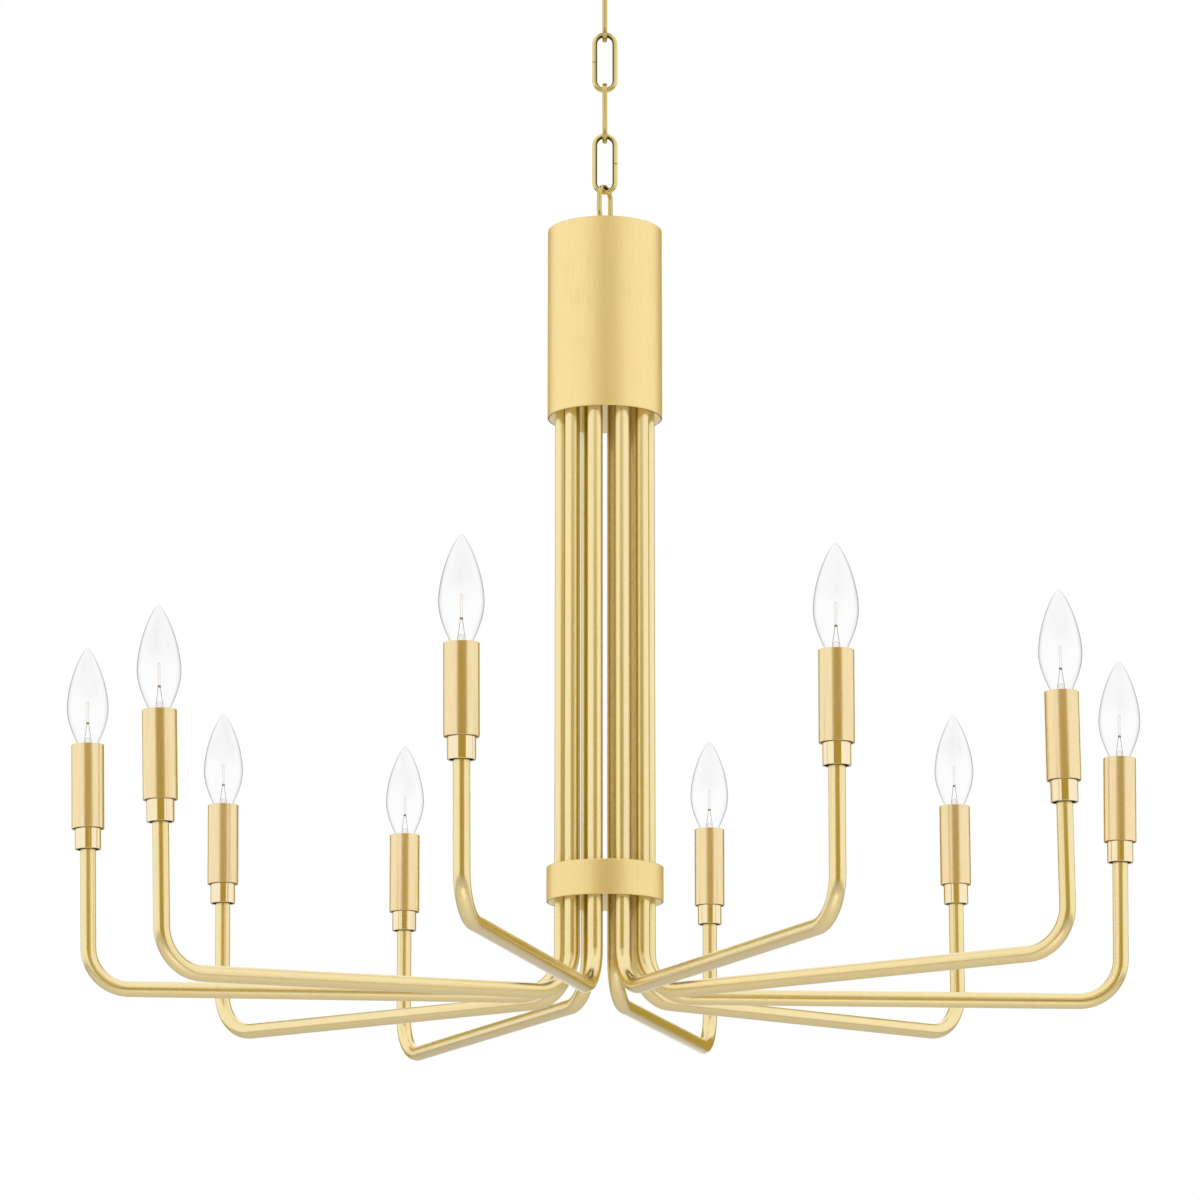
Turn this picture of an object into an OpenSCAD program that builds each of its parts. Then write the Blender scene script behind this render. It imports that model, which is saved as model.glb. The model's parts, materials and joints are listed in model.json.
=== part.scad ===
// Ten-arm brass chandelier on a four-link chain.
// Origin at the middle of the ceiling box, in the plane of the ceiling. +Z up, -Y is the front.
// Everything hangs below the origin. All sizes are in millimetres and all angles in degrees.

/* [Ceiling fitting] */
// Outer diameter of the canopy that covers the ceiling box
canopy_d = 130; // [118:1:160]
// Height of the canopy
canopy_h = 26; // [22:1:34]
// Thickness of the canopy's spun brass
canopy_wall = 1.2; // [0.8:0.1:2]
// Distance between the two screws of the ceiling box
box_screw_spacing = 79; // [72:1:84]
// Width of the crossbar's slots for those screws
box_slot_w = 4.6; // [4:0.1:5]
// End-to-end length of each of those slots
box_slot_len = 24; // [14:1:28]
// Width of the crossbar
crossbar_w = 16; // [15:1:22]
// Thickness of the crossbar
crossbar_t = 2; // [1.5:0.1:3]
// Diameter of the threaded barrel that passes through the canopy
barrel_d = 25; // [23.5:0.5:28]
// Height of the ring nut that holds the canopy up
collar_h = 7; // [5:0.5:9]
// Outer diameter of that ring nut
collar_d = 35; // [33:1:42]

/* [Chain] */
// Outer length of one chain link
link_len = 56.5; // [46:0.5:70]
// Outer width of one chain link
link_w = 22.4; // [20:0.2:23]
// Diameter of the wire of the links and of both loops
wire_d = 4.4; // [3.8:0.1:4.8]
// Width of the butt seam in each link
seam_w = 0.4; // [0.2:0.1:1]
// Outer length of the loop on the ceiling and of the loop on the column
loop_len = 37.5; // [34:0.5:44]
// Outer width of those loops
loop_w = 24; // [20:0.2:26]
// Angle that the column's loop is turned about the vertical
loop_turn = 60; // [50:1:90]
// Diameter of the turned foot under the column's loop
loop_foot_d = 20; // [17:0.5:26]
// Height of that foot
loop_foot_h = 9; // [9:0.5:14]

/* [Column] */
// Outer diameter of the housing and of the lower ring
body_d = 101; // [98:1:120]
// Height of the housing
housing_h = 171.5; // [140:0.5:200]
// Wall of the housing and of the lower ring
body_wall = 1.5; // [1:0.1:2.5]
// Open height between the housing and the lower ring
column_gap = 398.3; // [200:0.1:500]
// Height of the lower ring
ring_h = 30.3; // [20:0.1:45]
// Height of the lower ring's bottom edge above the middle of the arms' runs
ring_lift = 81; // [60:0.5:110]
// Bevel on the edges of the housing and of the lower ring
edge_bevel = 0.6; // [0.3:0.1:1]
// Height of the tube plate's underside above the housing's mouth
plate_lift = 60; // [40:1:80]
// Thickness of the tube plate
plate_t = 4; // [3:0.5:6]

/* [Arms] */
// Radius of the circle of candles
arm_circle_r = 443; // [300:1:520]
// Radius of the circle of tubes in the column
tube_circle_r = 37; // [36:0.5:38]
// Outer diameter of the arm tubes
tube_d = 13.5; // [12:0.1:14]
// Wall of the arm tubes
tube_wall = 1; // [0.8:0.1:1.4]
// Radius of both bends, to the middle of the tube
bend_r = 37; // [30:1:42]
// Height of the candle sleeve's lower edge above the run, along the candle
candle_h = 138.5; // [110:0.5:170]
// Angle of the first tube seat, from the front
first_seat = -13.5; // [-18:0.5:18]

/* [Candles] */
// Outer diameter of the candle sleeves
sleeve_d = 28.3; // [27.5:0.1:32]
// Height of the candle sleeves
sleeve_h = 73.5; // [70:0.5:100]
// Wall of the candle sleeves
sleeve_wall = 1.2; // [0.8:0.1:1.5]
// Outer diameter of the cups under the sleeves
cup_d = 22.6; // [21:0.1:24]
// Height of the cups that shows under the sleeves
cup_h = 18; // [15:0.5:24]
// Wall of the cups
cup_wall = 1.5; // [1:0.1:2]

/* [Bulbs] */
// Largest diameter of the bulbs
bulb_d = 36; // [33:0.1:38]
// Height of the bulbs' tips above the sleeves
bulb_h = 86.3; // [75:0.1:100]
// Height of the bulbs' widest place above the sleeves
bulb_belly_h = 33; // [28:0.5:40]
// Diameter of the bulbs' necks
bulb_neck_d = 16.6; // [15:0.1:18]
// Thickness of the bulbs' glass
glass_t = 0.7; // [0.5:0.1:1]

/* [Hidden] */
$fn = 64;
arm_count = 10;

// Clearances
touch = 0.3;      // between curved faces that rest on each other
running = 0.06;   // round a tube or a thread that turns in its hole
seat_gap = 0.2;   // between flat faces of pieces that slide together
bend_thin = 0.1;  // a tube's bends are this much thinner on the radius than its straight lengths
bend_lap = 0.4;   // how far the straight lengths run into the bends

// How each arm is set by hand, from the front arm round to the right, in degrees.
// arm_turn is the swivel away from even spacing, arm_rise lifts the run towards the candle,
// and candle_lean tips the candle outwards.
arm_turn = [-1, 1.5, -1, -3.5, 2.5, 0.5, 3, -7, -5.5, -4];
arm_rise = [1, 1, 1, -0.5, 0.5, 0.5, -1, 0, 1, -2];
candle_lean = [1.5, 0.5, -0.5, 1, 0, 0.5, 0.5, 1, 1.5, 2];

// Threaded nipples and their nuts
nipple_d = 9.8;
nipple_bore = 6.5;
nut_across = 14;
nut_h = 4;
tube_nut_across = 17;
tube_nut_h = 5;

// Ceiling fitting
crossbar_len = box_screw_spacing + box_slot_len + 8;
canopy_rim_h = 7;
canopy_bend_r = canopy_h - canopy_rim_h;
barrel_in = 10;
barrel_out = 9;
ceiling_nipple_up = 12;
ground_screw_d = 4;
ground_screw_at = 15;
barrel_top = -canopy_h + barrel_in;
barrel_bottom = -canopy_h - barrel_out;
loop_seat = 3;

// Chain, from the ceiling loop down. Each height is that of a wire's middle.
hang = wire_d + touch;
ceiling_loop_low = barrel_bottom + loop_seat - loop_len + wire_d / 2;
link_pitch = link_len - 2 * wire_d - touch;
first_link_top = ceiling_loop_low + hang;
last_link_low = first_link_top - 3 * link_pitch - (link_len - wire_d);
column_loop_top = last_link_low + hang;

// Column
loop_foot_top = column_loop_top + wire_d / 2 - loop_len + loop_seat;
housing_top = loop_foot_top - loop_foot_h;
housing_bottom = housing_top - housing_h;
housing_roof_t = 2;
ring_top = housing_bottom - column_gap;
ring_bottom = ring_top - ring_h;
ring_roof_t = 2;
run_z = ring_bottom - ring_lift;
plate_z = housing_bottom + plate_lift;
plate_top = plate_z + plate_t;
foot_thread_h = loop_foot_h - 4;
tube_end = plate_top + tube_nut_h + 3;

// Bracket between the column's nipple and the tube plate
strap_t = 2;
strap_w = 16;
strap_inside = 18;
strap_top = housing_top - housing_roof_t - nut_h;
column_nipple_low = strap_top - strap_t - nut_h - 3;
strap_bolt_d = 6;
strap_bolt_head_h = 4;

// Leads and their crimp caps
lead_d = 5.2;
cap_circle_r = 20.5;
cap_d = 8;
cap_h = 16;
lead_over_tube = 4;
lead_arch_r = (tube_circle_r - cap_circle_r) / 2;
lead_arch_z = tube_end + lead_over_tube + touch + 14;
joined_lead_d = 3.4;

// Arms
arm_len = arm_circle_r - tube_circle_r;
sleeve_recess = 2;
sleeve_floor_t = 1.5;
cup_roof_t = 4;
socket_nipple_h = 12;

// Sockets, in heights above the lower edge of the sleeve
socket_foot = sleeve_recess + sleeve_floor_t;
socket_stand_h = 27;
socket_stand_d = 18;
socket_stand_wall = 1.2;
socket_floor_t = 3;
socket_body_d = 20;
socket_body_low = socket_foot + socket_stand_h;
socket_below_rim = 5;
socket_body_high = sleeve_h - socket_below_rim;
socket_well = 24;
socket_well_r = 6.9;
screw_shell_r = 6.2;
screw_shell_t = 0.4;
screw_shell_h = 20;

// Bulbs, in heights above the upper edge of the sleeve
bulb_steps = 18;
bulb_shoulder = 1.7;
bulb_taper = 0.8;
bulb_base_r = screw_shell_r - touch;
bulb_base_high = -3;
bulb_base_low = -23;
bulb_contact_low = -27;
bulb_contact_r = 1.6;
bulb_stem_h = 19.5;
filament_h = 37.5;
filament_d = 0.5;

function per_arm(name) = [for (n = [1:arm_count]) str(name, "_", n)];

// ---------------------------------------------------------------- shared shapes

// A closed oval of round wire in the XZ plane. Its upper end's wire has its middle at the origin.
module wire_oval(len, width) {
    bend = (width - wire_d) / 2;
    straight = len - width;
    translate([0, 0, -bend]) {
        rotate([90, 0, 0])
            rotate_extrude(angle = 180)
                translate([bend, 0]) circle(d = wire_d);
        translate([0, 0, -straight])
            rotate([-90, 0, 0])
                rotate_extrude(angle = 180)
                    translate([bend, 0]) circle(d = wire_d);
        for (side = [-1, 1])
            translate([side * bend, 0, -straight]) cylinder(d = wire_d, h = straight);
    }
}

// A hexagon nut that stands on the origin.
module hex_nut(across, hole_d, height) {
    difference() {
        cylinder(d = across / cos(30), h = height, $fn = 6);
        translate([0, 0, -1]) cylinder(d = hole_d, h = height + 2);
    }
}

// A hollow threaded nipple that stands on the origin.
module nipple(height) {
    difference() {
        cylinder(d = nipple_d, h = height);
        translate([0, 0, -1]) cylinder(d = nipple_bore, h = height + 2);
    }
}

// A round cup, open below, that stands on the origin, with bevelled outer edges.
module spun_cup(outer_r, height, wall, roof) {
    rotate_extrude()
        polygon([
            [0, height],
            [outer_r - edge_bevel, height],
            [outer_r, height - edge_bevel],
            [outer_r, edge_bevel],
            [outer_r - edge_bevel, 0],
            [outer_r - wall, 0],
            [outer_r - wall, height - roof],
            [0, height - roof],
        ]);
}

// Places its children at every tube seat of the column.
module at_seats() {
    for (n = [1:arm_count])
        rotate([0, 0, seat_angle(n)]) translate([tube_circle_r, 0, 0]) children();
}

// ---------------------------------------------------------------- ceiling fitting

module crossbar() {
    color("silver")
        difference() {
            translate([-crossbar_len / 2, -crossbar_w / 2, -crossbar_t])
                cube([crossbar_len, crossbar_w, crossbar_t]);
            translate([0, 0, -crossbar_t - 1]) cylinder(d = nipple_d + 2 * running, h = crossbar_t + 2);
            for (side = [-1, 1])
                translate([side * box_screw_spacing / 2, 0, -crossbar_t - 1])
                    slot(box_slot_len, box_slot_w, crossbar_t + 2);
            translate([ground_screw_at, 0, -crossbar_t - 1])
                cylinder(d = ground_screw_d + 2 * running, h = crossbar_t + 2);
        }
}

// An upright slot with round ends, along X.
module slot(len, width, height) {
    middle = len - width;
    translate([-middle / 2, -width / 2, 0]) cube([middle, width, height]);
    for (side = [-1, 1])
        translate([side * middle / 2, 0, 0]) cylinder(d = width, h = height);
}

module crossbar_nipple() {
    foot = barrel_top - 7;
    color("goldenrod") translate([0, 0, foot]) nipple(ceiling_nipple_up - foot);
}

module nipple_locknuts() {
    color("silver")
        for (z = [0, -crossbar_t - nut_h])
            translate([0, 0, z]) hex_nut(nut_across, nipple_d + 2 * running, nut_h);
}

module ground_screw() {
    head_h = 2;
    below = 5;
    color("seagreen")
        translate([ground_screw_at, 0, 0]) {
            translate([0, 0, -crossbar_t - head_h]) cylinder(d = 8, h = head_h);
            translate([0, 0, -crossbar_t - 1]) cylinder(d = ground_screw_d, h = crossbar_t + 1 + below);
        }
}

// Half of the canopy's section, filled, moved in by a wall.
module canopy_section(wall) {
    flat_r = canopy_d / 2 - canopy_bend_r;
    difference() {
        union() {
            translate([0, -canopy_rim_h]) square([canopy_d / 2 - wall, canopy_rim_h]);
            translate([0, -canopy_h + wall]) square([flat_r, canopy_h - canopy_rim_h - wall]);
            translate([flat_r, -canopy_rim_h]) circle(r = canopy_bend_r - wall);
        }
        translate([-canopy_d, -canopy_h - 1]) square([canopy_d, 2 * canopy_h]);
        translate([0, 0]) square([canopy_d, canopy_h]);
    }
}

module canopy() {
    hole_r = barrel_d / 2 + 4 * touch;
    color("goldenrod")
        difference() {
            rotate_extrude() canopy_section(0);
            rotate_extrude() canopy_section(canopy_wall);
            translate([0, 0, -canopy_h - 1]) cylinder(r = hole_r, h = canopy_wall + 2);
        }
}

module collar_ring() {
    top = -canopy_h - seat_gap;
    color("goldenrod")
        translate([0, 0, top - collar_h])
            rotate_extrude()
                polygon([
                    [barrel_d / 2 + touch, 0],
                    [collar_d / 2 - 1, 0],
                    [collar_d / 2, 1],
                    [collar_d / 2, collar_h - 1],
                    [collar_d / 2 - 1, collar_h],
                    [barrel_d / 2 + touch, collar_h],
                ]);
}

module canopy_loop() {
    thread_depth = 8;
    color("goldenrod")
        difference() {
            union() {
                translate([0, 0, barrel_bottom]) cylinder(d = barrel_d, h = barrel_top - barrel_bottom);
                translate([0, 0, barrel_bottom + loop_seat - wire_d / 2]) wire_oval(loop_len, loop_w);
            }
            translate([0, 0, barrel_top - thread_depth])
                cylinder(d = nipple_d + 2 * running, h = thread_depth + 1);
            translate([0, 0, barrel_bottom - 1]) cylinder(d = nipple_bore, h = barrel_top - barrel_bottom);
        }
}

// ---------------------------------------------------------------- chain

// Link n, counted from the ceiling. Odd links lie front to back and even links side to side.
module chain_link(n) {
    face_on = n % 2 == 0;
    seam_side = n % 4 == 2 ? -1 : 1;
    color("goldenrod")
        translate([0, 0, first_link_top - (n - 1) * link_pitch])
            rotate([0, 0, face_on ? 0 : 90])
                difference() {
                    wire_oval(link_len, link_w);
                    translate([seam_side * (link_w - wire_d) / 2, 0, -(link_len - wire_d) / 2])
                        cube([2 * wire_d, 2 * wire_d, seam_w], center = true);
                }
}

// ---------------------------------------------------------------- column

module column_loop() {
    bevel = 1;
    color("goldenrod")
        difference() {
            union() {
                translate([0, 0, housing_top])
                    rotate_extrude()
                        polygon([
                            [0, 0],
                            [loop_foot_d / 2, 0],
                            [loop_foot_d / 2, loop_foot_h - bevel],
                            [loop_foot_d / 2 - bevel, loop_foot_h],
                            [0, loop_foot_h],
                        ]);
                translate([0, 0, column_loop_top]) rotate([0, 0, loop_turn]) wire_oval(loop_len, loop_w);
            }
            translate([0, 0, housing_top - 1]) cylinder(d = nipple_d + 2 * running, h = foot_thread_h + 1);
            translate([0, 0, housing_top]) cylinder(d = nipple_bore, h = loop_foot_h + 1);
        }
}

module column_nipple() {
    color("goldenrod")
        translate([0, 0, column_nipple_low]) nipple(housing_top + foot_thread_h - column_nipple_low);
}

// Two nuts on the nipple, and the bolt with its nut that holds the bracket on the tube plate.
module column_fasteners() {
    bolt_top = plate_top + strap_t;
    color("silver") {
        for (z = [strap_top, strap_top - strap_t - nut_h])
            translate([0, 0, z]) hex_nut(nut_across, nipple_d + 2 * running, nut_h);
        translate([0, 0, bolt_top]) cylinder(d = 10 / cos(30), h = strap_bolt_head_h, $fn = 6);
        translate([0, 0, plate_z - 9]) cylinder(d = strap_bolt_d, h = bolt_top - plate_z + 10);
        translate([0, 0, plate_z - 5]) hex_nut(10, strap_bolt_d + 2 * running, 5);
    }
}

// A closed strap: its top hangs on the nipple and its foot carries the tube plate.
module column_bracket() {
    height = strap_top - plate_top;
    outside = strap_inside + 2 * strap_t;
    color("silver")
        difference() {
            translate([-outside / 2, -strap_w / 2, plate_top]) cube([outside, strap_w, height]);
            translate([-strap_inside / 2, -strap_w / 2 - 1, plate_top + strap_t])
                cube([strap_inside, strap_w + 2, height - 2 * strap_t]);
            translate([0, 0, strap_top - strap_t - 1])
                cylinder(d = nipple_d + 2 * running, h = strap_t + 2);
            translate([0, 0, plate_top - 1]) cylinder(d = strap_bolt_d + 2 * running, h = strap_t + 2);
        }
}

module column_housing() {
    color("khaki")
        difference() {
            translate([0, 0, housing_bottom]) spun_cup(body_d / 2, housing_h, body_wall, housing_roof_t);
            translate([0, 0, housing_top - housing_roof_t - 1])
                cylinder(d = nipple_d + 2 * running, h = housing_roof_t + 2);
        }
}

module tube_plate() {
    color("silver")
        difference() {
            translate([0, 0, plate_z]) cylinder(r = body_d / 2 - body_wall - touch, h = plate_t);
            translate([0, 0, plate_z - 1]) {
                at_seats() cylinder(d = tube_d + 2 * running, h = plate_t + 2);
                cylinder(d = strap_bolt_d + 2 * running, h = plate_t + 2);
            }
        }
}

module tube_locknuts() {
    color("silver")
        for (z = [plate_top, plate_z - tube_nut_h])
            translate([0, 0, z])
                at_seats() hex_nut(tube_nut_across, tube_d + 2 * running, tube_nut_h);
}

module lower_ring() {
    color("khaki")
        difference() {
            translate([0, 0, ring_bottom]) spun_cup(body_d / 2, ring_h, body_wall, ring_roof_t);
            translate([0, 0, ring_top - ring_roof_t - 1])
                at_seats() cylinder(d = tube_d + 2 * running, h = ring_roof_t + 2);
        }
}

// From each tube's lead an arch runs inwards and down into a crimp cap on the tube plate.
module housing_leads() {
    arch_out = (tube_circle_r + cap_circle_r) / 2;
    lead_start = tube_end + lead_over_tube + touch;
    cap_low = plate_top + touch;
    for (n = [1:arm_count])
        rotate([0, 0, seat_angle(n)]) {
            color("white") {
                translate([tube_circle_r, 0, lead_start])
                    cylinder(d = joined_lead_d, h = lead_arch_z - lead_start);
                translate([arch_out, 0, lead_arch_z])
                    rotate([90, 0, 0])
                        rotate_extrude(angle = 180) translate([lead_arch_r, 0]) circle(d = joined_lead_d);
                translate([cap_circle_r, 0, cap_low + cap_h])
                    cylinder(d = joined_lead_d, h = lead_arch_z - cap_low - cap_h);
            }
            color("ivory") translate([cap_circle_r, 0, cap_low]) cylinder(d = cap_d, h = cap_h);
        }
}

// ---------------------------------------------------------------- arms

function seat_angle(n) = first_seat + (n - 1) * 360 / arm_count - 90;
function rise(n) = arm_rise[n - 1];
function lean(n) = candle_lean[n - 1];
function inner_turn(n) = 90 + rise(n);
function outer_turn(n) = 90 - rise(n) - lean(n);
function inner_set(n) = bend_r * tan(inner_turn(n) / 2);
function outer_set(n) = bend_r * tan(outer_turn(n) / 2);
function run_len(n) = arm_len / cos(rise(n)) - inner_set(n) - outer_set(n);

// The frame of arm n: its tube in the column stands on the origin and its run goes along +X.
module at_arm(n) {
    rotate([0, 0, seat_angle(n)])
        translate([tube_circle_r, 0, run_z])
            rotate([0, 0, arm_turn[n - 1]]) children();
}

// The frame of candle n: +Z along the candle, with the origin where it would meet the run.
module at_candle(n) {
    at_arm(n)
        translate([arm_len, 0, arm_len * tan(rise(n))])
            rotate([0, lean(n), 0]) children();
}

// A ring in the XY plane, or a disc where its hole is none.
module section(outer_r, hole_r) {
    difference() {
        circle(r = outer_r);
        if (hole_r > 0) circle(r = hole_r);
    }
}

// A bend of a tube in the XZ plane: it starts at the origin going down and turns towards +X.
module bend(turn, outer_r, hole_r) {
    translate([bend_r, 0, 0])
        rotate([90, 0, 0])
            rotate([0, 0, 180])
                rotate_extrude(angle = turn)
                    translate([bend_r, 0])
                        section(outer_r - bend_thin, hole_r > 0 ? hole_r + bend_thin : 0);
}

// A round bar or tube along arm n, from a height in the column, down, out and up the candle.
module along_arm(n, column_top, candle_top, outer_r, hole_r = 0) {
    leg_low = inner_set(n) - bend_lap;
    candle_low = outer_set(n) - bend_lap;
    at_arm(n) {
        translate([0, 0, leg_low]) linear_extrude(column_top - run_z - leg_low) section(outer_r, hole_r);
        translate([0, 0, inner_set(n)]) bend(inner_turn(n), outer_r, hole_r);
        rotate([0, 90 - rise(n), 0])
            translate([0, 0, inner_set(n) - bend_lap])
                linear_extrude(run_len(n) + 2 * bend_lap) section(outer_r, hole_r);
    }
    at_candle(n) {
        translate([0, 0, outer_set(n)]) mirror([1, 0, 0]) bend(outer_turn(n), outer_r, hole_r);
        translate([0, 0, candle_low]) linear_extrude(candle_top - candle_low) section(outer_r, hole_r);
    }
}

// A bent tube with a turned cup and a threaded nipple brazed on its outer end.
module arm(n) {
    cup_top = candle_h + sleeve_recess;
    color("goldenrod") {
        along_arm(n, tube_end, cup_top - cup_roof_t + 1, tube_d / 2, tube_d / 2 - tube_wall);
        at_candle(n)
            difference() {
                union() {
                    translate([0, 0, candle_h - cup_h]) cylinder(d = cup_d, h = cup_h + sleeve_recess);
                    translate([0, 0, cup_top]) cylinder(d = nipple_d, h = socket_nipple_h);
                }
                translate([0, 0, candle_h - cup_h - 1])
                    cylinder(d = cup_d - 2 * cup_wall, h = cup_h + sleeve_recess - cup_roof_t + 1);
                cylinder(d = nipple_bore, h = cup_top + socket_nipple_h + 1);
            }
    }
}

// A tube with a floor that is clamped between the cup and the socket.
module candle_sleeve(n) {
    outer_r = sleeve_d / 2;
    inner_r = outer_r - sleeve_wall;
    hole_r = nipple_d / 2 + running;
    color("darkkhaki")
        at_candle(n)
            translate([0, 0, candle_h])
                rotate_extrude()
                    polygon([
                        [inner_r, 0],
                        [outer_r, 0],
                        [outer_r, sleeve_h],
                        [inner_r, sleeve_h],
                        [inner_r, socket_foot],
                        [hole_r, socket_foot],
                        [hole_r, sleeve_recess],
                        [inner_r, sleeve_recess],
                    ]);
}

// The socket on its stand, and its lead through the arm into the column.
module socket(n) {
    color("white") along_arm(n, tube_end + lead_over_tube, candle_h + socket_body_low + 1, lead_d / 2);
    at_candle(n)
        translate([0, 0, candle_h]) {
            color("silver") socket_stand();
            color("ivory") socket_body();
            color("gold") screw_shell();
        }
}

module socket_stand() {
    translate([0, 0, socket_foot])
        difference() {
            cylinder(d = socket_stand_d, h = socket_stand_h);
            translate([0, 0, socket_floor_t])
                cylinder(d = socket_stand_d - 2 * socket_stand_wall, h = socket_stand_h);
            translate([0, 0, -1]) cylinder(d = nipple_d + 2 * running, h = socket_floor_t + 2);
        }
}

module socket_body() {
    translate([0, 0, socket_body_low])
        difference() {
            cylinder(d = socket_body_d, h = socket_body_high - socket_body_low);
            translate([0, 0, socket_body_high - socket_body_low - socket_well])
                cylinder(r = socket_well_r, h = socket_well + 1);
        }
}

// The socket's screw shell and its middle contact.
module screw_shell() {
    well_floor = socket_body_high - socket_well;
    translate([0, 0, well_floor]) {
        difference() {
            cylinder(r = screw_shell_r + screw_shell_t, h = screw_shell_h);
            translate([0, 0, -1]) cylinder(r = screw_shell_r, h = screw_shell_h + 2);
        }
        cylinder(r = 2.5, h = 1.4);
    }
}

// ---------------------------------------------------------------- bulbs

// Radius of the glass at a height above the sleeve, for a belly, a neck and a tip height.
function bulb_r(z, belly_r, neck_r, tip_h) =
    z < bulb_belly_h
    ? neck_r + (belly_r - neck_r) * cos(90 * (bulb_belly_h - z) / bulb_belly_h)
    : belly_r * pow(1 - pow((z - bulb_belly_h) / (tip_h - bulb_belly_h), bulb_shoulder), bulb_taper);

// The glass's outline from the neck to the tip, moved in by a thickness.
// The steps close up towards the tip, where the outline is roundest.
function bulb_curve(inset) = [
    for (i = [0:2 * bulb_steps])
        let (
            tip_h = bulb_h - inset,
            t = i / bulb_steps,
            z = t < 1 ? t * bulb_belly_h : bulb_belly_h + (tip_h - bulb_belly_h) * sin(90 * (t - 1))
        )
        [
            i == 2 * bulb_steps ? 0 : bulb_r(z, bulb_d / 2 - inset, bulb_neck_d / 2 - inset, tip_h),
            z,
        ]
];

module bulb(n) {
    at_candle(n)
        translate([0, 0, candle_h + sleeve_h]) {
            color("whitesmoke", 0.4) bulb_glass();
            color("gold") bulb_base();
            color("white") bulb_mount();
        }
}

module bulb_glass() {
    neck_r = bulb_neck_d / 2;
    outside = bulb_curve(0);
    inside = bulb_curve(glass_t);
    rotate_extrude()
        polygon(concat(
            [[neck_r - glass_t, bulb_base_high], [neck_r, bulb_base_high]], outside,
            [for (i = [2 * bulb_steps:-1:0]) inside[i]]));
}

// The screw base, closed at the glass, with its insulated tip and contact.
module bulb_base() {
    tip_high = bulb_base_low - 3;
    rotate_extrude()
        polygon([
            [0, bulb_base_high],
            [bulb_neck_d / 2, bulb_base_high],
            [bulb_base_r, bulb_base_high - 1.2],
            [bulb_base_r, bulb_base_low],
            [bulb_contact_r + 1, tip_high],
            [bulb_contact_r, bulb_contact_low],
            [0, bulb_contact_low],
        ]);
}

// The glass stem, the support with its bead, and the filament's loop of wire.
module bulb_mount() {
    bead_r = 1.6;
    spread = 2.4;
    translate([0, 0, bulb_base_high]) cylinder(r1 = 5, r2 = 2, h = 10);
    translate([0, 0, bulb_base_high + 9]) cylinder(r = 1.4, h = bulb_stem_h - bulb_base_high - 9);
    translate([0, 0, bulb_stem_h]) sphere(r = bead_r);
    for (side = [-1, 1])
        translate([side * spread / 2, 0, bulb_stem_h]) cylinder(d = filament_d, h = filament_h - bulb_stem_h);
    translate([0, 0, filament_h])
        rotate([90, 0, 0])
            rotate_extrude(angle = 180) translate([spread / 2, 0]) circle(d = filament_d);
}

// ---------------------------------------------------------------- nodes

crossbar();
crossbar_nipple();
nipple_locknuts();
ground_screw();
canopy_loop();
canopy();
collar_ring();
for (n = [1:4])
    chain_link(n);
column_loop();
column_nipple();
column_fasteners();
column_bracket();
column_housing();
tube_plate();
tube_locknuts();
lower_ring();
housing_leads();
for (n = [1:arm_count]) {
    arm(n);
    candle_sleeve(n);
    socket(n);
    bulb(n);
}
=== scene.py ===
import json
import math

import bmesh
import bpy
from mathutils import Matrix, Vector


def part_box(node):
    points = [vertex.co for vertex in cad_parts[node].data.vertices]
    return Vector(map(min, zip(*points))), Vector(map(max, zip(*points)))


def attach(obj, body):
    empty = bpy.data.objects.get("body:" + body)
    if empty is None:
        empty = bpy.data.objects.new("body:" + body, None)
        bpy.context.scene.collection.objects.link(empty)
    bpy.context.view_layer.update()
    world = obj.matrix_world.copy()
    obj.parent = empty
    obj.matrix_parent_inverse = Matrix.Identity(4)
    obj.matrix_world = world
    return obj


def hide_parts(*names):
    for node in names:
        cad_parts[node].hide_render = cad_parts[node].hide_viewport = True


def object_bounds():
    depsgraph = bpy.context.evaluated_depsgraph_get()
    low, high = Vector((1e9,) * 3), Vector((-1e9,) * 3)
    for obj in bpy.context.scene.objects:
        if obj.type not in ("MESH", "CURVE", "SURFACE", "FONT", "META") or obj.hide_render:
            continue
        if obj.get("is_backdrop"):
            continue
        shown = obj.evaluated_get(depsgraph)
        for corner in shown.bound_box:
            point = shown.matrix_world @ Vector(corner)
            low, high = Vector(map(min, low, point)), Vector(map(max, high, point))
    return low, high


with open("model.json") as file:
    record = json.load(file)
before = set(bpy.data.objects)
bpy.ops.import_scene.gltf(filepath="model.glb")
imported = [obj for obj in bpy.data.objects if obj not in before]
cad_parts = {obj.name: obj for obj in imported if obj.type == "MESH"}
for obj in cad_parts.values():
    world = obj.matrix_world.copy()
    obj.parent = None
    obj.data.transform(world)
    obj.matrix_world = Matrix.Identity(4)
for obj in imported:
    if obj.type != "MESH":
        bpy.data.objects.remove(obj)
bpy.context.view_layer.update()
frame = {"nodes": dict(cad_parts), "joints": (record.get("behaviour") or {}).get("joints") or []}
NODES = frame["nodes"]
JOINTS = {j["name"]: j for j in frame["joints"]}
ARMS = range(1, 11)
MM = 0.001

scene = bpy.context.scene


# ---------------------------------------------------------------- node helpers


def add(tree, kind, inputs=None, **props):
    """Adds a node, sets its properties, and sets or links its inputs."""
    node = tree.nodes.new(kind)
    for key, value in props.items():
        setattr(node, key, value)
    for key, value in (inputs or {}).items():
        if hasattr(value, "is_output"):
            tree.links.new(value, node.inputs[key])
        else:
            node.inputs[key].default_value = value
    return node


def number(tree, operation, *values):
    """A number worked out from numbers or from other nodes' outputs."""
    node = add(tree, "ShaderNodeMath", dict(enumerate(values)), operation=operation)
    return node.outputs["Value"]


def vector(tree, operation, *values):
    """A vector worked out from vectors or from other nodes' outputs."""
    node = add(tree, "ShaderNodeVectorMath", dict(enumerate(values)), operation=operation)
    return node.outputs["Vector"]


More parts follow.
